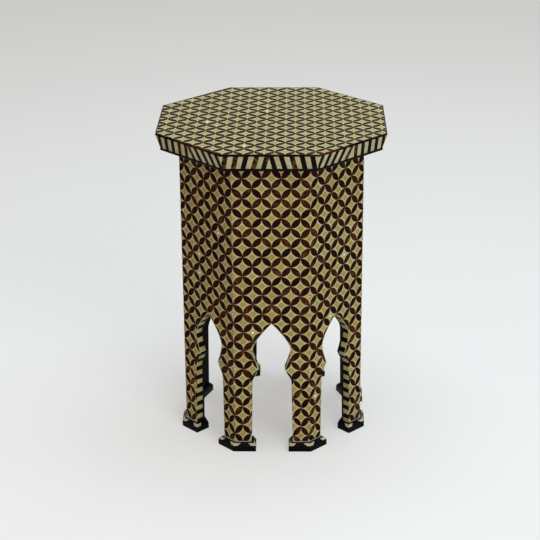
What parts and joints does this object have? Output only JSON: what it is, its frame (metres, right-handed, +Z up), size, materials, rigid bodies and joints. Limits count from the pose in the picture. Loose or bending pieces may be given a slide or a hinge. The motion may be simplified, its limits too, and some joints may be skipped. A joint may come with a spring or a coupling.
{
  "type": "octagonal inlaid stool",
  "caption": "Octagonal inlaid stool or side table: flat top with a leaning striped frieze over a mitred body cut by keyhole arches into legs on bent feet.",
  "frame": {"origin": "the floor under the middle of the top", "axes": "+Z up; -Y out of face 1, the front; +X to the right seen from the front"},
  "size_m": [0.4, 0.4, 0.575],
  "materials": {
    "bone_inlay": "polished bone inlay",
    "tortoiseshell_inlay": "polished dark red-brown shell resin inlay",
    "board_wood": "planed, bare",
    "black_paint": "brushed black paint on wood",
    "black_lacquer": "gloss black lacquer on wood",
    "screw_steel": "plain"
  },
  "bodies": {
    "root": {"top_board": "board_wood", "top_inlay": "bone_inlay", "top_edge_strip": "tortoiseshell_inlay", "frieze_bead": "black_lacquer", "upper_former": "board_wood", "lower_former": "board_wood", "top_screw_1": "screw_steel", "top_screw_2": "screw_steel", "top_screw_3": "screw_steel", "top_screw_4": "screw_steel", "frieze_rail_1": "bone_inlay", "side_panel_1": "black_paint", "face_inlay_1": "bone_inlay", "arch_lining_1": "tortoiseshell_inlay", "foot_1": "black_lacquer", "foot_screw_1": "screw_steel", "frieze_rail_2": "bone_inlay", "side_panel_2": "black_paint", "face_inlay_2": "bone_inlay", "arch_lining_2": "tortoiseshell_inlay", "foot_2": "black_lacquer", "foot_screw_2": "screw_steel", "frieze_rail_3": "bone_inlay", "side_panel_3": "black_paint", "face_inlay_3": "bone_inlay", "arch_lining_3": "tortoiseshell_inlay", "foot_3": "black_lacquer", "foot_screw_3": "screw_steel", "frieze_rail_4": "bone_inlay", "side_panel_4": "black_paint", "face_inlay_4": "bone_inlay", "arch_lining_4": "tortoiseshell_inlay", "foot_4": "black_lacquer", "foot_screw_4": "screw_steel", "frieze_rail_5": "bone_inlay", "side_panel_5": "black_paint", "face_inlay_5": "bone_inlay", "arch_lining_5": "tortoiseshell_inlay", "foot_5": "black_lacquer", "foot_screw_5": "screw_steel", "frieze_rail_6": "bone_inlay", "side_panel_6": "black_paint", "face_inlay_6": "bone_inlay", "arch_lining_6": "tortoiseshell_inlay", "foot_6": "black_lacquer", "foot_screw_6": "screw_steel", "frieze_rail_7": "bone_inlay", "side_panel_7": "black_paint", "face_inlay_7": "bone_inlay", "arch_lining_7": "tortoiseshell_inlay", "foot_7": "black_lacquer", "foot_screw_7": "screw_steel", "frieze_rail_8": "bone_inlay", "side_panel_8": "black_paint", "face_inlay_8": "bone_inlay", "arch_lining_8": "tortoiseshell_inlay", "foot_8": "black_lacquer", "foot_screw_8": "screw_steel"}
  },
  "joints": []
}
